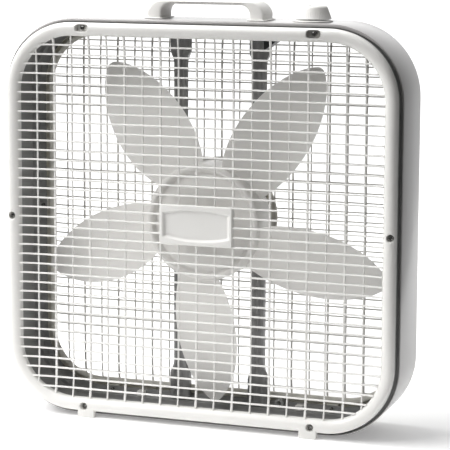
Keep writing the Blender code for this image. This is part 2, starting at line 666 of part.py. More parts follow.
def build():
    quarter = math.radians(90)
    front = new_frame("front_frame", (0, -LATTICE_Y, CENTRE_Z), (quarter, 0, 0))
    rear = new_frame("rear_frame", (0, LATTICE_Y, CENTRE_Z), (quarter, 0, 2 * quarter))
    middle = new_frame("case_frame", (0, 0, CENTRE_Z), (quarter, 0, 0))
    axle = new_frame("impeller_axis", (0, 0, CENTRE_Z), (quarter, 0, 0))

    add_wrap(middle)
    add_front_grille(front)
    add_rear_grille(rear)
    add_grille_screws("front", front)
    add_grille_screws("rear", rear)
    add_strut("left_strut", -STRUT_X, False)
    add_strut("right_strut", STRUT_X, True)
    for name, x, z in CORNERS:
        add_screw("strut_screw_" + name, 3.6 * MM, rear,
                  (-x * STRUT_X, z * STRUT_SCREW_Z, WRAP_HALF_DEPTH + GAP - LATTICE_Y))
    add_motor(middle, axle)
    add_impeller(axle)
    add_handle()
    add_controls()
    add_motor_lead()
    add_cord_gland(rear)
    for obj in parts.objects:
        if obj.type == "MESH":
            obj.data.shade_smooth()
            obj.data.set_sharp_from_angle(angle=math.radians(35))


clear_scene()
parts = new_collection("box_fan")
cutters = new_collection("cutters")
build()
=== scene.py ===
"""Looks of the box fan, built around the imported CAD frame.

Pieces are drawn in three local frames: the front grille's, the rear grille's and the middle of the
case. In each, local x runs across, local y runs up and local z points outward along the fan's axis.
"""

import json
import math

import bmesh
import bpy
from mathutils import Matrix, Vector

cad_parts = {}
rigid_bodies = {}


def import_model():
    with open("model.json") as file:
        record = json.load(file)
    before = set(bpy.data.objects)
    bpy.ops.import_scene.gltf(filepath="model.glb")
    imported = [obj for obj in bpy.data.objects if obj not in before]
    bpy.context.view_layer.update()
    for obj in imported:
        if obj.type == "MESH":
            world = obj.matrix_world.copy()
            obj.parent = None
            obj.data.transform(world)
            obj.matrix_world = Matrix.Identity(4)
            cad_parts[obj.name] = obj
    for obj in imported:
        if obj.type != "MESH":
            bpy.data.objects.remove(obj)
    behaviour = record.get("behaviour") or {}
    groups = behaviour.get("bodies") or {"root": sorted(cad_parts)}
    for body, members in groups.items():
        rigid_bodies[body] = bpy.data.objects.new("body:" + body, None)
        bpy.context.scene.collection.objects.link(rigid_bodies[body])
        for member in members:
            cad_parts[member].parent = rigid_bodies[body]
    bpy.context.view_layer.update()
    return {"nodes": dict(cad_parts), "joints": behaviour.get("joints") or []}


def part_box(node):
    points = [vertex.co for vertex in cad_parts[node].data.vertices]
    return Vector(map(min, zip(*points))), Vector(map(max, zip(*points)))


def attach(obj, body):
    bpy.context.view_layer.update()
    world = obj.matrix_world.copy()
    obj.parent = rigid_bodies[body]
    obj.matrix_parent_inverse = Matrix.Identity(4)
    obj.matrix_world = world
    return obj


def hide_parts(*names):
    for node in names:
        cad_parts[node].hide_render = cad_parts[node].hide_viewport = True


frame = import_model()

MM = 0.001

# ---------------------------------------------------------------- sizes taken from the frame
joints = {joint["name"]: joint for joint in frame["joints"]}
CENTRE_Z = joints["impeller_spin"]["pos_m"][2]
KNOB_PLACE = Vector(joints["speed_select"]["pos_m"])
grille_low, grille_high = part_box("front_grille")
_, wrap_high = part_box("housing_wrap")
strut_low, strut_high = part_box("right_strut")
HALF_WIDTH = grille_high.x
HALF_HEIGHT = grille_high.z - CENTRE_Z
FRAME_CREST = 8 * MM
LATTICE_Y = -grille_low.y - FRAME_CREST
BULGE = wrap_high.x - HALF_WIDTH
STRUT_X = (strut_low.x + strut_high.x) / 2

CORNER_RADIUS = 88 * MM
FRAME_WIDTH = 17 * MM
CORNER_STEPS = 22

# Lattice of the finger guard: rows and columns on each side of the middle one, and its slight dish
ROW_PITCH = 12.32 * MM
ROW_REACH = 18
COLUMN_PITCH = 24.1 * MM
COLUMN_REACH = 9
DISH_BAND = 32 * MM  # the bars rise towards the frame over this distance
DISH_RISE = 3.4 * MM
PLATE_HALF_X = 48 * MM
PLATE_HALF_Y = 25.4 * MM

FRONT = Matrix.Translation((0, -LATTICE_Y, CENTRE_Z)) @ Matrix.Rotation(math.radians(90), 4, "X")
REAR = (Matrix.Translation((0, LATTICE_Y, CENTRE_Z)) @ Matrix.Rotation(math.radians(180), 4, "Z")
        @ Matrix.Rotation(math.radians(90), 4, "X"))
MIDDLE = Matrix.Translation((0, 0, CENTRE_Z)) @ Matrix.Rotation(math.radians(90), 4, "X")


# ---------------------------------------------------------------- camera, light and floor
CAMERA_PLACE = (0.8345, -2.3415, 0.6619)
CAMERA_TURN = (19.95, 8.06, 0.11)  # yaw to the left, pitch down and roll, in degrees
LENS = 158.1
LENS_SHIFT = (0.06, -0.10)

# Parts of the sky: the direction of its middle, where its smooth step starts and ends as the cosine
# to that direction grows, and its strength
SKY = [((-1, 0, 0), -0.2, 0.8, 0.2), ((-0.5, 0.87, 0), 0.4, 0.98, 1.2), ((0, 0, 1), 0.2, 0.9, 0.35)]
SKY_BASE = 0.08
BACKDROP = 1.05  # just past white

# Square lamps: place, size and power. They stand on the fan's left, so the light falls off to the right
LAMPS = {"overhead": ((-0.4, 0.0, 1.8), 0.9, 18), "side": ((-1.0, -0.4, 1.15), 0.7, 7),
         "front": ((-1.1, -1.3, 1.7), 1.0, 24)}
LAMP_TARGET = Vector((0, 0, 0.25))

# The white table ends a little to the right of the fan and in front of it
FLOOR_CORNERS = ((-6, -0.5), (0.55, -0.5), (0.55, 12), (-6, 12))
FLOOR_FADE = (0.4, 1.6)  # distances between which the table's glow grows
FLOOR_GLOW = (0.2, 0.8)


def add_camera():
    yaw, pitch, roll = (math.radians(angle) for angle in CAMERA_TURN)
    across = Vector((math.cos(yaw), math.sin(yaw), 0))
    level = Vector((-math.sin(yaw), math.cos(yaw), 0))
    forward = level * math.cos(pitch) - Vector((0, 0, math.sin(pitch)))
    up = across.cross(forward)
    right = across * math.cos(roll) + up * math.sin(roll)
    top = up * math.cos(roll) - across * math.sin(roll)
    data = bpy.data.cameras.new("camera")
    data.sensor_width = 36
    data.lens = LENS
    data.shift_x, data.shift_y = LENS_SHIFT
    data.clip_end = 50
    camera = bpy.data.objects.new("camera", data)
    bpy.context.scene.collection.objects.link(camera)
    turn = Matrix((right, top, -forward)).transposed().to_4x4()
    camera.matrix_world = Matrix.Translation(CAMERA_PLACE) @ turn
    bpy.context.scene.camera = camera


def smooth_part(nodes, links, source, low, high, top, start=0.0):
    """A smooth step from start to top as the source goes from low to high."""
    step = nodes.new("ShaderNodeMapRange")
    step.interpolation_type = "SMOOTHSTEP"
    step.inputs["From Min"].default_value = low
    step.inputs["From Max"].default_value = high
    step.inputs["To Min"].default_value = start
    step.inputs["To Max"].default_value = top
    links.new(source, step.inputs["Value"])
    return step.outputs["Result"]


def add_sky():
    """White backdrop, soft light from the left, from behind and from above, and a dark front right."""
    world = bpy.data.worlds.new("studio")
    bpy.context.scene.world = world
    world.use_nodes = True
    nodes, links = world.node_tree.nodes, world.node_tree.links
    nodes.clear()
    where = nodes.new("ShaderNodeTexCoord")
    total = None
    for centre, low, high, strength in SKY:
        near = nodes.new("ShaderNodeVectorMath")
        near.operation = "DOT_PRODUCT"
        near.inputs[1].default_value = centre
        links.new(where.outputs["Generated"], near.inputs[0])
        add = nodes.new("ShaderNodeMath")
        add.operation = "ADD"
        add.inputs[0].default_value = SKY_BASE
        if total:
            links.new(total, add.inputs[0])
        links.new(smooth_part(nodes, links, near.outputs["Value"], low, high, strength), add.inputs[1])
        total = add.outputs[0]
    soft = nodes.new("ShaderNodeBackground")
    soft.inputs["Color"].default_value = (1, 1, 1, 1)
    links.new(total, soft.inputs["Strength"])
    backdrop = nodes.new("ShaderNodeBackground")
    backdrop.inputs["Color"].default_value = (1, 1, 1, 1)
    backdrop.inputs["Strength"].default_value = BACKDROP
    path = nodes.new("ShaderNodeLightPath")
    mix = nodes.new("ShaderNodeMixShader")
    out = nodes.new("ShaderNodeOutputWorld")
    links.new(path.outputs["Is Camera Ray"], mix.inputs[0])
    links.new(soft.outputs[0], mix.inputs[1])
    links.new(backdrop.outputs[0], mix.inputs[2])
    links.new(mix.outputs[0], out.inputs["Surface"])


def floor_material():
    """White table top that fades out into the white backdrop behind."""
    paint = bpy.data.materials.new("floor_paint")
    paint.use_nodes = True
    nodes, links = paint.node_tree.nodes, paint.node_tree.links
    surface = nodes["Principled BSDF"]
    surface.inputs["Base Color"].default_value = (0.95, 0.95, 0.95, 1)
    surface.inputs["Roughness"].default_value = 0.9
    surface.inputs["Specular IOR Level"].default_value = 0.0
    surface.inputs["Emission Color"].default_value = (1, 1, 1, 1)
    where = nodes.new("ShaderNodeTexCoord")
    reach = nodes.new("ShaderNodeVectorMath")
    reach.operation = "LENGTH"
    links.new(where.outputs["Object"], reach.inputs[0])
    start, top = FLOOR_GLOW
    glow = smooth_part(nodes, links, reach.outputs["Value"], *FLOOR_FADE, top, start)
    links.new(glow, surface.inputs["Emission Strength"])
    return paint


def add_light():
    add_sky()
    for name, (place, size, power) in LAMPS.items():
        light = bpy.data.lights.new(name, "AREA")
        light.shape = "SQUARE"
        light.size = size
        light.energy = power
        lamp = bpy.data.objects.new(name, light)
        bpy.context.scene.collection.objects.link(lamp)
        turn = (Vector(place) - LAMP_TARGET).to_track_quat("Z", "Y").to_matrix().to_4x4()
        lamp.matrix_world = Matrix.Translation(place) @ turn

    bm = bmesh.new()
    bm.faces.new([bm.verts.new((x, y, 0)) for x, y in FLOOR_CORNERS])
    floor = new_object("floor", bm)
    floor.data.materials.append(floor_material())
    bpy.context.scene.view_settings.view_transform = "Standard"


# ---------------------------------------------------------------- materials
def node_material(name, colour, roughness, metallic=0.0, spread=0.03, rough_spread=0.05,
                  mottle=14, grain=900, relief=0.02, coat=0.0, stretch=(1, 1, 1), depth=0.0):
    """Painted or moulded surface: slow colour and gloss variation with a fine grain in relief."""
    made = bpy.data.materials.new(name)
    made.use_nodes = True
    nodes, links = made.node_tree.nodes, made.node_tree.links
    surface = nodes["Principled BSDF"]
    surface.inputs["Metallic"].default_value = metallic
    surface.inputs["Coat Weight"].default_value = coat
    surface.inputs["Coat Roughness"].default_value = 0.12
    surface.inputs["Subsurface Weight"].default_value = depth
    surface.inputs["Subsurface Scale"].default_value = 3 * MM
    surface.inputs["Subsurface Radius"].default_value = (1, 1, 1)
    where = nodes.new("ShaderNodeTexCoord")
    scale = nodes.new("ShaderNodeMapping")
    scale.inputs["Scale"].default_value = stretch
    links.new(where.outputs["Object"], scale.inputs["Vector"])

    slow = nodes.new("ShaderNodeTexNoise")
    slow.inputs["Scale"].default_value = mottle
    slow.inputs["Detail"].default_value = 4
    links.new(scale.outputs[0], slow.inputs["Vector"])
    tone = nodes.new("ShaderNodeValToRGB")
    tone.color_ramp.elements[0].position = 0.3
    tone.color_ramp.elements[1].position = 0.7
    tone.color_ramp.elements[0].color = (*[c * (1 - spread) for c in colour], 1)
    tone.color_ramp.elements[1].color = (*[min(1, c * (1 + spread)) for c in colour], 1)
    links.new(slow.outputs["Fac"], tone.inputs["Fac"])
    links.new(tone.outputs["Color"], surface.inputs["Base Color"])

    fine = nodes.new("ShaderNodeTexNoise")
    fine.inputs["Scale"].default_value = grain
    fine.inputs["Detail"].default_value = 2
    links.new(scale.outputs[0], fine.inputs["Vector"])
    gloss = nodes.new("ShaderNodeMapRange")
    gloss.inputs["From Min"].default_value = 0.3
    gloss.inputs["From Max"].default_value = 0.7
    gloss.inputs["To Min"].default_value = roughness - rough_spread
    gloss.inputs["To Max"].default_value = roughness + rough_spread
    links.new(slow.outputs["Fac"], gloss.inputs["Value"])
    links.new(gloss.outputs["Result"], surface.inputs["Roughness"])

    bump = nodes.new("ShaderNodeBump")
    bump.inputs["Strength"].default_value = 0.6
    bump.inputs["Distance"].default_value = relief * MM
    links.new(fine.outputs["Fac"], bump.inputs["Height"])
    links.new(bump.outputs["Normal"], surface.inputs["Normal"])
    made.diffuse_color = (*colour, 1)
    return made


def banded_material(name, colour, roughness, metallic, pitch, axis, relief=0.2):
    """Stacked sheets or wound wire: fine parallel bands in relief."""
    made = node_material(name, colour, roughness, metallic, spread=0.12)
    nodes, links = made.node_tree.nodes, made.node_tree.links
    wave = nodes.new("ShaderNodeTexWave")
    wave.bands_direction = axis
    wave.inputs["Scale"].default_value = 1 / (2 * math.pi * pitch)
    wave.inputs["Distortion"].default_value = 0.4
    links.new(nodes["Mapping"].outputs[0], wave.inputs["Vector"])
    bump = nodes.new("ShaderNodeBump")
    bump.inputs["Distance"].default_value = relief * MM
    links.new(wave.outputs["Fac"], bump.inputs["Height"])
    links.new(bump.outputs["Normal"], nodes["Principled BSDF"].inputs["Normal"])
    return made


def clear_material(name, colour):
    made = node_material(name, colour, 0.25, relief=0.01)
    surface = made.node_tree.nodes["Principled BSDF"]
    surface.inputs["Transmission Weight"].default_value = 0.7
    surface.inputs["IOR"].default_value = 1.49
    return made


WHITE = node_material("white_moulding", (0.80, 0.79, 0.765), 0.36, spread=0.012, relief=0.03,
                      depth=0.25)
# Painted shade: the rear frame, its motor disc and its lip are the same white plastic as the front.
# This cream tint stands for the shade they sit in.
REAR_SHADE_TINT = node_material("rear_moulding_shade_tint", (0.78, 0.765, 0.71), 0.42, spread=0.015, relief=0.03,
                      depth=0.25)
# Painted shade: the rear guard's bars are the same white plastic as the front guard. This darker grey
# stands for the shade they sit in inside the case.
SHADED = node_material("rear_guard_painted_shade", (0.68, 0.67, 0.64), 0.45, spread=0.015, relief=0.03,
                       depth=0.2)
STEEL = node_material("wrap_paint", (0.35, 0.338, 0.334), 0.30, spread=0.015, rough_spread=0.01,
                      grain=420, relief=0.008, coat=0.45)
# Reverse-side coat of the band: a real darker grey on its inside, also put on the grooves round its
# edges as painted shade.
STEEL_INSIDE_AND_GROOVE_SHADE = node_material("wrap_inside_and_groove_shade", (0.28, 0.28, 0.277), 0.34, spread=0.08, grain=420)
STRUT_PAINT = node_material("strut_paint", (0.28, 0.28, 0.277), 0.26, spread=0.06, grain=380,
                            relief=0.04, coat=0.4)
MOTOR_PAINT = node_material("motor_paint", (0.06, 0.06, 0.062), 0.34, spread=0.08, grain=500,
                            relief=0.05)
BLADE = node_material("blade_plastic", (0.87, 0.855, 0.83), 0.36, spread=0.012, depth=0.2)
# Zinc plating's own grey, darkened further with painted shade that stands for the shadow in the screw
# pockets.
ZINC_DARKENED_FOR_SHADE = node_material("zinc_painted_shade", (0.25, 0.247, 0.24), 0.22, 1.0, spread=0.08, mottle=300,
                     stretch=(1, 1, 0.2))
BRIGHT_STEEL = node_material("ground_steel", (0.60, 0.60, 0.60), 0.26, 1.0, spread=0.05, grain=2500)
BLACK = node_material("black_moulding", (0.022, 0.022, 0.023), 0.46, spread=0.1, relief=0.05)
SHEATH = node_material("lead_sheath", (0.016, 0.016, 0.016), 0.55, spread=0.1, relief=0.06)
BRONZE = node_material("sintered_bronze", (0.45, 0.29, 0.14), 0.5, 1.0, spread=0.12, mottle=700,
                       relief=0.08)
CORE = banded_material("core_sheets", (0.30, 0.30, 0.31), 0.45, 1.0, 0.6 * MM, "Y", 0.1)
WINDING = banded_material("enamelled_wire", (0.52, 0.20, 0.07), 0.32, 0.85, 0.8 * MM, "Z", 0.3)
CLEAR = clear_material("clear_nylon", (0.86, 0.87, 0.86))


# ---------------------------------------------------------------- shapes
def new_object(name, bm, matrix=None, sharp=38):
    """A smooth-shaded object from a bmesh."""
    mesh = bpy.data.meshes.new(name)
    bmesh.ops.recalc_face_normals(bm, faces=bm.faces)
    bm.to_mesh(mesh)
    bm.free()
    mesh.shade_smooth()
    mesh.set_sharp_from_angle(angle=math.radians(sharp))
    obj = bpy.data.objects.new(name, mesh)
    bpy.context.scene.collection.objects.link(obj)
    if matrix is not None:
        obj.matrix_world = matrix
    return obj


def piece(obj, material, body="housing", replaced=()):
    """Give a finished object its material and body, and hide the CAD nodes that it stands for."""
    obj.data.materials.clear()
    obj.data.materials.append(material)
    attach(obj, body)
    if replaced:
        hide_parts(*replaced)


def applied(obj, sharp=38):
    """Bake an object's modifiers into its mesh."""
    bpy.context.view_layer.update()
    evaluated = obj.evaluated_get(bpy.context.evaluated_depsgraph_get())
    mesh = bpy.data.meshes.new_from_object(evaluated)
    obj.modifiers.clear()
    obj.data = mesh
    mesh.shade_smooth()
    mesh.set_sharp_from_angle(angle=math.radians(sharp))
    return obj


def combined(obj, tools, sharp=38):
    """Cut and join tools, (object, operation) pairs, into an object, then drop them."""
    for tool, operation in tools:
        step = obj.modifiers.new("step", "BOOLEAN")
        step.operation = operation
        step.object = tool
        step.solver = "EXACT"
    applied(obj, sharp)
    for tool, _ in tools:
        bpy.data.objects.remove(tool, do_unlink=True)
    return obj


def rounded(obj, width, segments=3, angle=40):
    edge = obj.modifiers.new("round", "BEVEL")
    edge.width = width
    edge.segments = segments
    edge.limit_method = "ANGLE"
    edge.angle_limit = math.radians(angle)
    return applied(obj)


def arc(centre, radius, start, end, steps):
    """Points along an arc, angles in degrees."""
    angles = [math.radians(start + (end - start) * i / steps) for i in range(steps + 1)]
    return [(centre[0] + radius * math.cos(a), centre[1] + radius * math.sin(a)) for a in angles]


def outline(half_x, half_y, radius, steps=CORNER_STEPS):
    """A rounded rectangle."""
    x, y = half_x - radius, half_y - radius
    return (arc((x, y), radius, 0, 90, steps) + arc((-x, y), radius, 90, 180, steps)
            + arc((-x, -y), radius, 180, 270, steps) + arc((x, -y), radius, 270, 360, steps))


def bridge(bm, first, second):
    """Faces between two closed loops of points, either of which may be a single point."""
    count = max(len(first), len(second))
    for i in range(count):
        corners = []
        for corner in (first[i % len(first)], first[(i + 1) % len(first)],
                       second[(i + 1) % len(second)], second[i % len(second)]):
            if corner not in corners:
                corners.append(corner)
        if len(corners) > 2:
            bm.faces.new(corners)


def skin(bm, loops, closed=False):
    """Bridge a row of loops, and cap its ends unless it closes on itself."""
    for first, second in zip(loops, loops[1:]):
        bridge(bm, first, second)
    if closed:
        bridge(bm, loops[-1], loops[0])
    else:
        for end in (loops[0], loops[-1]):
            if len(end) > 2:
                bm.faces.new(end)


def ring_bmesh(half_x, half_y, radius, section, steps=CORNER_STEPS):
    """A closed section of (inset, forward) millimetres swept round a rounded rectangle."""
    bm = bmesh.new()
    loops = []
    for inset, forward in section:
        inset *= MM
        points = outline(half_x - inset, half_y - inset, radius - inset, steps)
        loops.append([bm.verts.new((x, y, forward * MM)) for x, y in points])
    skin(bm, loops, closed=True)
    return bm


def turned_bmesh(profile, segments=96, ripple=None):
    """A closed profile of (radius, height) millimetres turned about local z."""
    bm = bmesh.new()
    loops = []
    for radius, height in profile:
        if radius < 1e-6:
            loops.append([bm.verts.new((0, 0, height * MM))])
            continue
        loop = []
        for i in range(segments):
            angle = 2 * math.pi * i / segments
            reach = radius * MM * (ripple(angle, height) if ripple else 1)
            loop.append(bm.verts.new((reach * math.cos(angle), reach * math.sin(angle), height * MM)))
        loops.append(loop)
    skin(bm, loops, closed=len(loops[0]) > 1)
    return bm


def slab_bmesh(points, low, high, bm=None):
    """A flat outline stretched from one height to another."""
    bm = bm or bmesh.new()
    skin(bm, [[bm.verts.new((x, y, height)) for x, y in points] for height in (low, high)])
    return bm


def box_bmesh(entries):
    """(centre, size) boxes in millimetres, in one mesh."""
    bm = bmesh.new()
    for centre, size in entries:
        corners = bmesh.ops.create_cube(bm, size=1)["verts"]
        bmesh.ops.scale(bm, vec=[s * MM for s in size], verts=corners)
        bmesh.ops.translate(bm, vec=[c * MM for c in centre], verts=corners)
    return bm


# ---------------------------------------------------------------- grilles
# Frame section: inset and height in millimetres
FRAME_OUTSIDE = [(0, -2.5), (0, 1.6), (0.25, 3.4), (0.8, 4.9), (1.8, 6.1), (3.3, 7.1), (5.0, 7.7),
                 (7.0, 8.0), (9.0, 7.9), (11.0, 7.45), (13.0, 6.5), (14.8, 5.1), (16.0, 3.5),
                 (16.7, 1.8), (17.0, 0), (17.0, -2.8)]
FRAME_INSIDE = [(15.4, -2.8), (15.4, 0.2), (14.0, 2.8), (11.0, 4.8), (7.0, 5.8), (3.6, 4.8), (1.8, 2.0),
                (1.8, -2.5)]
SCREW_INSET = 6.5 * MM
SCREW_X = 152 * MM
FOOT_X = 149 * MM
POCKET_FLOOR = 0.8
LONG_POCKET = (8.4 * MM, 4.7 * MM, 3.6 * MM)  # half sizes and corner radius
ROUND_POCKET = (4.6 * MM, 4.6 * MM, 4.5 * MM)


def inward(x, y, out):
    """Distance inward from a rounded rectangle that stands outside the frame's edge by out."""
    radius = CORNER_RADIUS + out
    over_x = abs(x) - (HALF_WIDTH + out - radius)
    over_y = abs(y) - (HALF_HEIGHT + out - radius)
    return radius - math.hypot(max(over_x, 0), max(over_y, 0)) - min(max(over_x, over_y), 0)


def dish(x, y):
    """How far forward the guard stands at a point."""
    rise = min(1, max(0, 1 - inward(x, y, -FRAME_WIDTH) / DISH_BAND))
    return DISH_RISE * rise ** 2


def half_span(across, half_this, half_other, radius):
    """How far a rounded rectangle reaches at a distance off its middle line."""
    over = abs(across) - (half_other - radius)
    if over <= 0:
        return half_this
    return half_this - radius + math.sqrt(radius ** 2 - over ** 2)


def add_bar(bm, start, end, fixed, upright, half_width, low, high):
    """One bar of the guard, following its dish, with chamfered edges."""
    cut = 0.35 * half_width
    section = [(-half_width, low + cut), (-half_width, high - cut), (cut - half_width, high),
               (half_width - cut, high), (half_width, high - cut), (half_width, low + cut),
               (half_width - cut, low), (cut - half_width, low)]
    steps = (0, 3, 6, 10, 14, 19, 25, 32, 42, 60, 90, 130)
    span = end - start
    near = [step * MM for step in steps if step * MM < span / 2 - 1 * MM]
    stations = [start + step for step in near] + [end - step for step in reversed(near)]
    loops = []
    for along in stations:
        x, y = (fixed, along) if upright else (along, fixed)
        base = dish(x, y)
        if upright:
            loops.append([bm.verts.new((x + off, y, base + height)) for off, height in section])
        else:
            loops.append([bm.verts.new((x, y + off, base + height)) for off, height in section])
    skin(bm, loops)


def lattice(name, matrix, material, slimness=1.0, gap_x=0.0, gap_y=0.0):
    """The rows and the columns of a finger guard, left open behind a centre plate."""
    wall = FRAME_WIDTH - 1 * MM
    limits = (HALF_WIDTH - wall, HALF_HEIGHT - wall, CORNER_RADIUS - wall)
    for upright in (False, True):
        bm = bmesh.new()
        reach = COLUMN_REACH if upright else ROW_REACH
        pitch = COLUMN_PITCH if upright else ROW_PITCH
        for i in range(-reach, reach + 1):
            fixed = i * pitch
            if upright:
                end = half_span(fixed, limits[1], limits[0], limits[2])
                shape = ((1.4 if i % 2 == 0 else 0.85) * slimness * MM, -2.4 * MM, 0.2 * MM)
                gap = gap_y if abs(fixed) < gap_x - 2 * MM else 0
            else:
                end = half_span(fixed, limits[0], limits[1], limits[2])
                shape = (1.05 * slimness * MM, -1.0 * MM, 1.5 * MM)
                gap = gap_x if abs(fixed) < gap_y else 0
            parts = [(-end, -gap), (gap, end)] if gap else [(-end, end)]
            for first, last in parts:
                add_bar(bm, first, last, fixed, upright, *shape)
        obj = new_object(name + ("_columns" if upright else "_rows"), bm, matrix, 30)
        piece(obj, material)


def screw_places():
    top, side = HALF_HEIGHT - SCREW_INSET, HALF_WIDTH - SCREW_INSET
    return [(-SCREW_X, top), (SCREW_X, top), (-SCREW_X, -top), (SCREW_X, -top), (-side, 0), (side, 0)]


def pocket(x, y, half_x, half_y, corner, matrix):
    """A tool that cuts a recess with a flared mouth."""
    bm = bmesh.new()
    loops = []
    for height, flare in ((POCKET_FLOOR, 0), (5.2, 0), (6.6, 0.25), (7.6, 0.8), (9, 2.0)):
        points = outline(half_x + flare * MM, half_y + flare * MM, corner + flare * MM, 7)
        loops.append([bm.verts.new((x + px, y + py, height * MM)) for px, py in points])
    skin(bm, loops)
    return new_object("tool", bm, matrix)


def add_frame(name, matrix, slotted, material, node):
    """Moulded frame with screw bosses, feet and screw pockets, long ones along the top if slotted."""
    frame_obj = new_object(name, ring_bmesh(HALF_WIDTH, HALF_HEIGHT, CORNER_RADIUS,
                                            FRAME_OUTSIDE + FRAME_INSIDE), matrix)
    bosses = []
    for x, y in screw_places():
        size = (10.6, 14.6) if y == 0 else (20 if slotted and y > 0 else 14.6, 10.6)
        bosses.append(((x / MM, y / MM, 1.6), (*size, 6.4)))
    tools = [(new_object("tool", box_bmesh(bosses), matrix), "UNION")]
    feet = box_bmesh([((side * FOOT_X / MM, -HALF_HEIGHT / MM + 0.6, 2.7), (22.6, 17.2, 9.6))
                      for side in (-1, 1)])
    tools.append((rounded(new_object("tool", feet, matrix), 1.1 * MM, 2), "UNION"))
    for x, y in screw_places():
        size = LONG_POCKET if slotted and y > 0 else ROUND_POCKET
        tools.append((pocket(x, y, *size, matrix), "DIFFERENCE"))
    combined(frame_obj, tools)
    piece(frame_obj, material, replaced=(node,))


# Badge recess in millimetres: half its length, half its height at the ends and the rise of its arch
RECESS_HALF_X = 44.0
RECESS_HALF_END = 15.5
RECESS_ARCH = 5.0


def badge_point(i, count, inset, height):
    """A point of the badge's recess: upright ends, arched top and bottom."""
    half_x, side = RECESS_HALF_X - inset, RECESS_HALF_END - inset * 0.8
    quarter = count // 4
    part, t = divmod(i, quarter)
    t /= quarter
    if part in (0, 2):
        x = half_x * (1 - 2 * t)
        y = side + RECESS_ARCH * (1 - (x / half_x) ** 2)
    else:
        x = -half_x
        y = side * (1 - 2 * t)
    if part > 1:
        x, y = -x, -y
    return (x * MM, y * MM, height * MM)


def add_badge_plate():
    """Plate in the middle of the front guard, with a blank recess."""
    bm = bmesh.new()
    count = 96
    loops = []
    for inset, height in ((0, -1.5), (0, 2.6), (0.4, 3.1), (1.1, 3.25)):
        half_x, half_y = PLATE_HALF_X - inset * MM, PLATE_HALF_Y - inset * MM
        loop = []
        for i in range(count):
            x, y, _ = badge_point(i, count, 0, 0)
            reach = min(half_x / max(abs(x), 1e-9), half_y / max(abs(y), 1e-9))
            loop.append(bm.verts.new((x * reach, y * reach, height * MM)))
        loops.append(loop)
    for inset, height in ((-0.6, 3.25), (0, 3.0), (1.6, 0.6), (2.6, -0.1), (4.0, -0.3), (9.0, -0.25)):
        loops.append([bm.verts.new(badge_point(i, count, inset, height)) for i in range(count)])
    skin(bm, loops)
    piece(new_object("badge_plate", bm, FRONT, 45), WHITE)


def add_rear_disc():
    """Plain disc behind the motor, the two tabs under it and the lip round the opening."""
    profile = [(0, 2.9), (20, 2.85), (45, 2.6), (62, 2.2), (64, 1.7), (66, 1.7), (68, 2.2), (72, 2.1),
               (74.5, 1.4), (75.8, 0.2), (76, -1), (76, -3), (74, -3), (74, -1.6), (0, -1.6)]
    disc = new_object("rear_motor_disc", turned_bmesh(profile), REAR)
    piece(disc, REAR_SHADE_TINT)
    tabs = box_bmesh([((side * 110, -245.5, -3.5), (10, 7, 16)) for side in (-1, 1)])
    tabs = rounded(new_object("rear_tabs", tabs, REAR), 0.8 * MM, 2)
    piece(tabs, WHITE)
    section = [(15.6, -2.9), (15.6, -0.9), (16.4, -0.5), (20.8, -0.5), (21.8, -1.0), (21.8, -2.6),
               (21.2, -2.9)]
    lip = new_object("rear_lip", ring_bmesh(HALF_WIDTH, HALF_HEIGHT, CORNER_RADIUS, section), REAR)
    piece(lip, REAR_SHADE_TINT)


# ---------------------------------------------------------------- steel wrap
HEM_SHARE = (0.6, 0.35)  # how far up a corner the closed groove starts, and how soon it is reached
# Faces past these insets and within this depth take the reverse-side grey. On the band's inside that
# grey is real. On the walls and floor of the edge grooves it is painted shade.
INSIDE_INSET = 0.5 * MM
FLANGE_AND_GROOVE_INSET = 4.7 * MM
INSIDE_AND_GROOVE_DEPTH = 40 * MM


def wrap_outline(inset):
    reach = BULGE - inset
    return outline(HALF_WIDTH + reach, HALF_HEIGHT + reach, CORNER_RADIUS + reach)


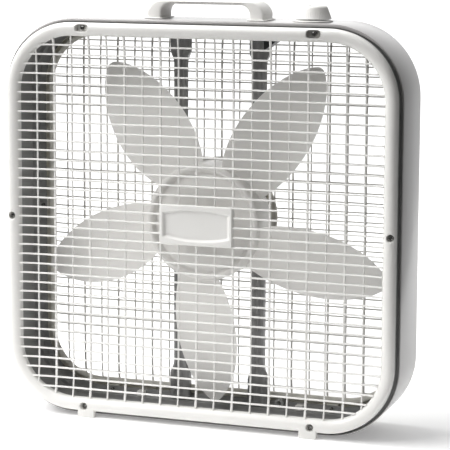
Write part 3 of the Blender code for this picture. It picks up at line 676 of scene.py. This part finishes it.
def add_wrap():
    """Bent steel band, whose hemmed edges leave a groove round the grille frames.

    Along the top the hem rolls right in to the frame and closes the groove. The section gives the
    inset at the sides, the inset along the top and the distance forward.
    """
    edge = [(0, 0, 40.8), (0.1, 0.2, 41.6), (0.4, 1.2, 42.2), (0.9, 2.6, 42.4), (1.3, 3.8, 42.1),
            (1.5, 4.4, 41.4), (1.5, 4.5, 37.2), (1.8, 4.6, 36.4), (2.4, 4.7, 36.0), (4.2, 4.8, 36.0),
            (5.0, 5.0, 36.4), (5.3, 5.3, 37.2), (5.3, 5.3, 45.2), (5.6, 5.6, 45.9), (6.4, 6.4, 46.3),
            (15.5, 15.5, 46.3), (15.5, 15.5, 45.5), (6.8, 6.8, 45.5), (6.3, 6.3, 45.2),
            (6.1, 6.1, 44.6), (6.1, 6.1, 36.4), (5.7, 5.7, 35.4), (4.8, 4.8, 35.2),
            (1.6, 1.6, 35.2), (0.9, 0.9, 34.8), (0.8, 0.8, 34.0)]
    section = edge + [(side, top, -out) for side, top, out in reversed(edge)]
    bm = bmesh.new()
    loops = []
    for side, top, out in section:
        loop = []
        for low, high in zip(wrap_outline(side * MM), wrap_outline(top * MM)):
            upward = (low[1] - HALF_HEIGHT + CORNER_RADIUS) / (CORNER_RADIUS + BULGE)
            share = min(1, max(0, (upward - HEM_SHARE[0]) / HEM_SHARE[1]))
            share = share * share * (3 - 2 * share)
            x, y = (a + (b - a) * share for a, b in zip(low, high))
            loop.append(bm.verts.new((x, y, out * MM)))
        loops.append(loop)
    skin(bm, loops, closed=True)
    wrap = new_object("steel_wrap", bm, MIDDLE)
    piece(wrap, STEEL, replaced=("housing_wrap",))
    wrap.data.materials.append(STEEL_INSIDE_AND_GROOVE_SHADE)
    # Reverse-side grey on the band's inside, where it is real, and on the walls and floor of the
    # grooves round its edges, where it is painted shade.
    for face in wrap.data.polygons:
        point = face.center
        inset = inward(point.x, point.y, BULGE)
        if inset > FLANGE_AND_GROOVE_INSET or (abs(point.z) < INSIDE_AND_GROOVE_DEPTH and inset > INSIDE_INSET):
            face.material_index = 1


# ---------------------------------------------------------------- struts and motor
STRUT_HALF_WIDTH = 8.25  # in millimetres, as the rest of the strut
STRUT_FOOT_HALF_WIDTH = 13.2
STRUT_NECK_END = 197
STRUT_FOOT_START = 213


def add_strut(name, side, node):
    """Pressed channel, open to the rear, with two long grooves and flared ends."""
    front = [(-7.4, 0.25), (-6.2, 0.0), (-5.0, 0.1), (-4.2, 0.7), (-3.6, 1.5), (-2.8, 1.8), (-2.0, 1.5),
             (-1.4, 0.7), (-0.6, 0.1)]
    front += [(-u, v) for u, v in reversed(front)]
    wide = STRUT_HALF_WIDTH
    shape = ([(-wide, 9.5), (-wide, 1.5), (-8.0, 0.6)] + front + [(8.0, 0.6), (wide, 1.5), (wide, 9.5)]
             + [(7.35, 9.5), (7.35, 3.0), (6.6, 2.7), (-6.6, 2.7), (-7.35, 3.0), (-7.35, 9.5)])
    stations = [-244, -228, -213, -210, -207, -204, -201, -197, -120, 0]
    stations += [-z for z in reversed(stations[:-1])]
    bm = bmesh.new()
    loops = []
    for z in stations:
        t = min(1, max(0, (abs(z) - STRUT_NECK_END) / (STRUT_FOOT_START - STRUT_NECK_END)))
        flare = 1 + (STRUT_FOOT_HALF_WIDTH / STRUT_HALF_WIDTH - 1) * t * t * (3 - 2 * t)
        loops.append([bm.verts.new((u * flare * MM, v * MM, z * MM)) for u, v in shape])
    skin(bm, loops)
    place = Matrix.Translation((side * STRUT_X, strut_low.y, CENTRE_Z))
    strut = new_object(name, bm, place, 32)
    piece(strut, STRUT_PAINT, replaced=(node,))
    feet = box_bmesh([((0, 9.3, end * 233.5), (26, 1.2, 19)) for end in (-1, 1)])
    feet = rounded(new_object(name + "_feet", feet, place), 0.4 * MM, 2)
    piece(feet, STRUT_PAINT)


VENTS = 8
VENT_RADIUS = 27 * MM


def add_motor():
    """Two pressed covers with vents, and the ears that hold them to the struts."""
    front = [(8.3, 9), (12, 9), (12.8, 8.4), (13.4, 5.4), (14.6, 4.4), (38, 4.4), (42, 3.4),
             (44.6, 1.2), (46, -2.4), (46, -14), (44.5, -14), (44.5, -1.6), (39.4, 2.6), (10, 2.6),
             (10, -1), (8.3, -1)]
    rear = [(44.5, -14.3), (46, -14.3), (46, -26.4), (44.8, -29.6), (42, -32), (38.6, -33), (14.6, -33),
            (13.4, -34), (12.8, -37.4), (12, -38), (8.3, -38), (8.3, -28), (10, -28), (10, -31.5),
            (39.4, -31.5), (44.5, -26.4)]
    for name, profile, node, rise in (("motor_front_cover", front, "motor_front_shell", 0),
                                      ("motor_rear_cover", rear, "motor_rear_shell", -33)):
        shell = new_object(name, turned_bmesh(profile, 72), MIDDLE)
        vents = bmesh.new()
        slot = outline(7.5 * MM, 2.2 * MM, 2.1 * MM, 5)
        for i in range(VENTS):
            turn = Matrix.Rotation(2 * math.pi * (i + 0.5) / VENTS, 3, "Z")
            loops = []
            for height in (rise - 6, rise + 9):
                loops.append([vents.verts.new(turn @ Vector((x + VENT_RADIUS, y, height * MM)))
                              for x, y in slot])
            skin(vents, loops)
        combined(shell, [(new_object("tool", vents, MIDDLE), "DIFFERENCE")])
        piece(shell, MOTOR_PAINT, replaced=(node,))
    ears = bmesh.new()
    for side in (-1, 1):
        loops = []
        for height in (-35.0, -31.8):
            loops.append([ears.verts.new((x, y + side * 28 * MM, height * MM))
                          for x, y in outline(61 * MM, 6.5 * MM, 3 * MM, 6)])
        skin(ears, loops)
    ears = new_object("motor_ears", ears, MIDDLE)
    piece(rounded(ears, 0.6 * MM, 2), MOTOR_PAINT)


# ---------------------------------------------------------------- impeller
BLADES = 5
HUB_RADIUS = 74.5 * MM
ROOT_RADIUS = HUB_RADIUS - 1.2 * MM
BLADE_REACH = 164.7 * MM
TIP_RADIUS = 241.3 * MM
HALF_CHORD = 45.5 * MM
WIDEST_RADIUS = 143 * MM
OUTER_TAPER = 99 * MM  # from the widest radius, outward and inward
INNER_TAPER = 103 * MM
TAPER_POWER = 0.7
CAMBER = 0.12
ROOT_PITCH = 21  # degrees, falling towards the tip
PITCH_FALL = 13
RAKE = (13.5 * MM, -26 * MM, -7 * MM)  # at the root, then in proportion to the reach and to its square
SWEEP = 0.059  # sideways lean of a blade's middle line for each unit of radius
UNSWEPT_RADIUS = 222 * MM


def blade_point(radius, across):
    """A point of the blade's middle surface; across runs -1 to 1."""
    reach = OUTER_TAPER if radius > WIDEST_RADIUS else INNER_TAPER
    chord = HALF_CHORD * max(0.0, 1 - ((radius - WIDEST_RADIUS) / reach) ** 2) ** TAPER_POWER
    along = (radius - ROOT_RADIUS) / BLADE_REACH
    pitch = math.radians(ROOT_PITCH - PITCH_FALL * along)
    rake = RAKE[0] + RAKE[1] * along + RAKE[2] * along ** 2
    height = rake + across * chord * math.tan(pitch) - CAMBER * chord * (1 - across ** 2)
    angle = (across * chord + SWEEP * (radius - UNSWEPT_RADIUS)) / radius
    return Vector((radius * math.cos(angle), radius * math.sin(angle), height))


def add_blade(bm, turn):
    """One blade: a closed skin, thick in the middle and thin at its edges."""
    rows, columns = 34, 18
    top, bottom = [], []
    for i in range(rows + 1):
        radius = ROOT_RADIUS + (TIP_RADIUS - ROOT_RADIUS) * math.sin(math.pi / 2 * i / rows) ** 0.9
        upper, lower = [], []
        for j in range(columns + 1):
            across = math.sin(math.pi / 2 * (2 * j / columns - 1))
            centre = blade_point(radius, across)
            step = 0.5 * MM
            outward = blade_point(radius + (step if i < rows else -step), across) - centre
            if i == rows:
                outward.negate()
            sideways = (blade_point(radius, min(1, across + 0.02))
                        - blade_point(radius, max(-1, across - 0.02)))
            normal = outward.cross(sideways).normalized()
            half = MM * (0.45 + 0.6 * (1 - across ** 2)) * (1 - 0.35 * i / rows)
            upper.append(bm.verts.new(turn @ (centre + normal * half)))
            lower.append(bm.verts.new(turn @ (centre - normal * half)))
        top.append(upper)
        bottom.append(lower)
    for i in range(rows):
        for j in range(columns):
            bm.faces.new((top[i][j], top[i + 1][j], top[i + 1][j + 1], top[i][j + 1]))
            bm.faces.new((bottom[i][j], bottom[i][j + 1], bottom[i + 1][j + 1], bottom[i + 1][j]))
        for j in (0, columns):
            bm.faces.new((top[i][j], bottom[i][j], bottom[i + 1][j], top[i + 1][j]))
    for i in (0, rows):
        for j in range(columns):
            bm.faces.new((top[i][j], top[i][j + 1], bottom[i][j + 1], bottom[i][j]))


def add_impeller():
    """Drum hub with a rolled front rim and five pitched blades."""
    face = [(4.4, 27), (10.4, 27), (11, 26.6), (11.4, 25.0), (12.4, 24.5), (25, 25.2), (40, 25.2),
            (50, 24.5), (58, 23.2), (62, 22.2), (63.6, 21.9), (64.8, 22.6)]
    rim = arc((70, 24), 4.5, 165, 0, 12)
    skirt = [(74.5, 10), (74.5, -23.4), (73.8, -24), (72.7, -24), (72.5, -23)]
    under = [(72.5, 24), (71.6, 26), (70, 26.6), (68, 26), (66.4, 22), (64, 20.2), (58, 21.4),
             (40, 23.4), (13, 22.6), (11, 22), (11, 10.5), (4.4, 10.5)]
    bm = turned_bmesh(face + rim + skirt + under, 120)
    for i in range(BLADES):
        add_blade(bm, Matrix.Rotation(math.radians(270 + 360 / BLADES * i), 3, "Z"))
    wheel = new_object("fan_wheel", bm, MIDDLE, 50)
    piece(wheel, BLADE, "impeller_body", ("impeller",))


# ---------------------------------------------------------------- top
HANDLE_LEG_X = 68 * MM
FLUTES = 60
FLUTE_DEPTH = 0.014  # as a share of the radius
FLUTE_TOP = 17.2


def add_handle():
    """Deep moulded strap with a thin flange round the foot of each leg."""
    low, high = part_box("carry_handle")
    base = low.z
    top = (high.z - base) / MM
    half = high.x / MM - 3
    right = [(half, 0), (half - 0.6, 3.5)] + arc((half - 20, top - 20.0), 20, 8, 90, 14)
    under = arc((46.5, 7), 12, 90, 5, 10) + [(58.8, 0)]
    points = right + [(-x, y) for x, y in reversed(right)]
    points += [(-x, y) for x, y in reversed(under)] + under
    bm = slab_bmesh([(x * MM, y * MM) for x, y in points], -20 * MM, 20 * MM)
    place = Matrix.Translation((0, 0, base)) @ Matrix.Rotation(math.radians(90), 4, "X")
    strap = rounded(new_object("top_handle", bm, place), 2.6 * MM, 4, 50)
    piece(strap, WHITE, replaced=("carry_handle",))
    for side, name in ((-1, "left"), (1, "right")):
        flange = slab_bmesh(outline(12.5 * MM, 23 * MM, 4 * MM, 8), 0, 1.5 * MM)
        leg = Matrix.Translation((side * HANDLE_LEG_X, 0, base))
        obj = new_object("handle_flange_" + name, flange, leg)
        piece(rounded(obj, 0.7 * MM, 3), WHITE)


def add_knob():
    """Tapered knob with fine flutes, a rounded top and a raised pointer."""
    def flutes(angle, height):
        depth = FLUTE_DEPTH * min(1, max(0, (FLUTE_TOP - height) / 3))
        return 1 - depth * (0.5 - 0.5 * math.cos(FLUTES * angle))

    profile = [(0, 20.4), (9, 20.45), (13.4, 20.3), (15.6, 19.8), (17.2, 18.8), (18.3, 17.2),
               (19.3, 14.2), (20.6, 10.6), (21.7, 7.6), (22.6, 5.2), (23.1, 4.2), (23.2, 3.75),
               (22.4, 3.7), (9.5, 3.7), (9.5, 9), (3.3, 9), (3.3, 17), (0, 17)]
    place = Matrix.Translation(KNOB_PLACE)
    knob = new_object("selector_knob", turned_bmesh(profile, 360, flutes), place, 45)
    piece(knob, WHITE, "knob_body", ("speed_knob",))
    pointer = slab_bmesh(outline(1.0 * MM, 6.0 * MM, 0.9 * MM, 5), 19.6 * MM, 21.0 * MM)
    place_pointer = Matrix.Translation(KNOB_PLACE + Vector((0, -9.5 * MM, 0)))
    mark = rounded(new_object("knob_pointer", pointer, place_pointer), 0.4 * MM, 2)
    piece(mark, WHITE, "knob_body")
    dial = [(5.4, 0.3), (24.4, 0.3), (25, 0.8), (25, 1.4), (24.2, 2.0), (23, 2.1), (5.4, 2.1)]
    ring = new_object("dial_ring", turned_bmesh(dial, 96), place)
    piece(ring, WHITE, replaced=("dial_plate",))


# ---------------------------------------------------------------- screws and small parts
SCREW_TWIST = 0.7  # turns each recess a little more than the last


def screw_mesh(length):
    """Pan-head screw with a cross recess; its head's top is at its origin."""
    total = length / MM
    head = [(0, 0), (1.2, -0.03), (2.3, -0.25), (3.0, -0.7), (3.45, -1.4), (3.5, -2.4), (1.9, -2.4),
            (1.9, 0.6 - total), (1.3, -total), (0, -total)]
    screw = new_object("screw", turned_bmesh(head, 28))
    arm = [(2.2, -0.6), (2.2, 0.6), (0.6, 0.6)]
    points = []
    for quarter in range(4):
        turn = Matrix.Rotation(math.radians(90 * quarter), 2)
        points += [turn @ Vector(point) * MM for point in arm]
    cross = slab_bmesh(points, -1.8 * MM, 1 * MM)
    return combined(screw, [(new_object("tool", cross), "DIFFERENCE")]).data


def add_screws():
    """A screw in place of each of the CAD's, with its head toward the side that it is driven from."""
    meshes = {}
    toward = {"front": Vector((0, -1, 0)), "rear": Vector((0, 1, 0)), "strut": Vector((0, 1, 0)),
              "motor": Vector((0, 1, 0)), "handle": Vector((0, 0, -1))}
    for index, node in enumerate(sorted(frame["nodes"])):
        kind, _, rest = node.partition("_screw_")
        if not rest:
            continue
        axis = toward[kind]
        low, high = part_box(node)
        middle = (low + high) / 2
        length = round(abs((high - low).dot(axis)), 5)
        if length not in meshes:
            meshes[length] = screw_mesh(length)
            meshes[length].materials.clear()
            meshes[length].materials.append(ZINC_DARKENED_FOR_SHADE)
        head = middle + axis * length / 2
        turn = axis.to_track_quat("Z", "Y").to_matrix().to_4x4()
        turn = turn @ Matrix.Rotation(SCREW_TWIST * index, 4, "Z")
        screw = bpy.data.objects.new(node.replace("_screw_", "_cross_screw_"), meshes[length].copy())
        bpy.context.scene.collection.objects.link(screw)
        screw.matrix_world = Matrix.Translation(head) @ turn
        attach(screw, "housing")
        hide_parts(node)
    patterns = [obj for obj in bpy.data.objects if obj.name == "screw" or obj.name.startswith("screw.")]
    for pattern in patterns:
        bpy.data.objects.remove(pattern, do_unlink=True)


COVER_DEPTH = 22.4  # in millimetres
COVER_WALL = 1.8
GUSSET_HALF = 11.5 * MM


def add_control_cover():
    """Box under the switch, with a gusset that reaches down beside the strut."""
    low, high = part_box("control_cover")
    front, back = low.y, high.y
    floor = high.z - COVER_DEPTH * MM
    box = box_bmesh([(((low.x + high.x) / 2 / MM, 0, (floor + high.z) / 2 / MM),
                      ((high.x - low.x) / MM, (back - front) / MM, COVER_DEPTH))])
    cover = rounded(new_object("switch_cover", box), 1.6 * MM, 3)
    hollow = box_bmesh([(((low.x + high.x) / 2 / MM, 0, high.z / MM - 7.4),
                         ((high.x - low.x) / MM - 2 * COVER_WALL,
                          (back - front) / MM - 2 * COVER_WALL, 26))])
    gusset = [(x * MM, y * MM) for x, y in ((0, 1), (0, -11.6), (1, -11.8), (18, 1))]
    corner = slab_bmesh(gusset, -GUSSET_HALF, GUSSET_HALF)
    place = Matrix.Translation((low.x, -8.5 * MM, floor)) @ Matrix.Rotation(math.radians(90), 4, "X")
    combined(cover, [(new_object("tool", corner, place), "UNION"),
                     (new_object("tool", hollow), "DIFFERENCE")])
    piece(cover, BLACK, replaced=("control_cover",))


def add_gland():
    """Clear bushing for the supply cord, with a squared inner saddle."""
    low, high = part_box("cord_gland")
    centre = ((low.x + high.x) / 2, LATTICE_Y, (low.z + high.z) / 2)
    place = Matrix.Translation(centre) @ REAR.to_3x3().to_4x4()
    profile = [(2.8, 5.9), (5.2, 5.9), (6.1, 5.1), (6.1, 3.3), (4, 3.3), (4, -3.6), (5.5, -3.9),
               (5.5, -10), (4.6, -10.9), (2.8, -10.9)]
    bush = new_object("cord_bushing", turned_bmesh(profile, 40), place)
    piece(bush, CLEAR, replaced=("cord_gland",))


def paint_cad_nodes():
    """The pieces that show as they are in the CAD only get their material."""
    paints = {"hub_nut": BLACK, "motor_shaft": BRIGHT_STEEL, "rotor_core": CORE, "stator_core": CORE,
              "stator_winding": WINDING, "front_bearing": BRONZE, "rear_bearing": BRONZE,
              "switch_body": BLACK, "switch_nut": ZINC_DARKENED_FOR_SHADE, "switch_spindle": BRIGHT_STEEL,
              "run_capacitor": BLACK,
              "motor_lead": SHEATH}
    for node, material in paints.items():
        obj = frame["nodes"][node]
        for slot in obj.material_slots:
            slot.material = material


add_camera()
add_light()
add_frame("front_guard_frame", FRONT, True, WHITE, "front_grille")
lattice("front_guard", FRONT, WHITE, 1.0, PLATE_HALF_X - 1 * MM, PLATE_HALF_Y)
add_badge_plate()
add_frame("rear_guard_frame", REAR, False, REAR_SHADE_TINT, "rear_grille")
lattice("rear_guard", REAR, SHADED, 0.78)
add_rear_disc()
add_wrap()
add_strut("strut_left", -1, "left_strut")
add_strut("strut_right", 1, "right_strut")
add_motor()
add_impeller()
add_handle()
add_knob()
add_screws()
add_control_cover()
add_gland()
paint_cad_nodes()
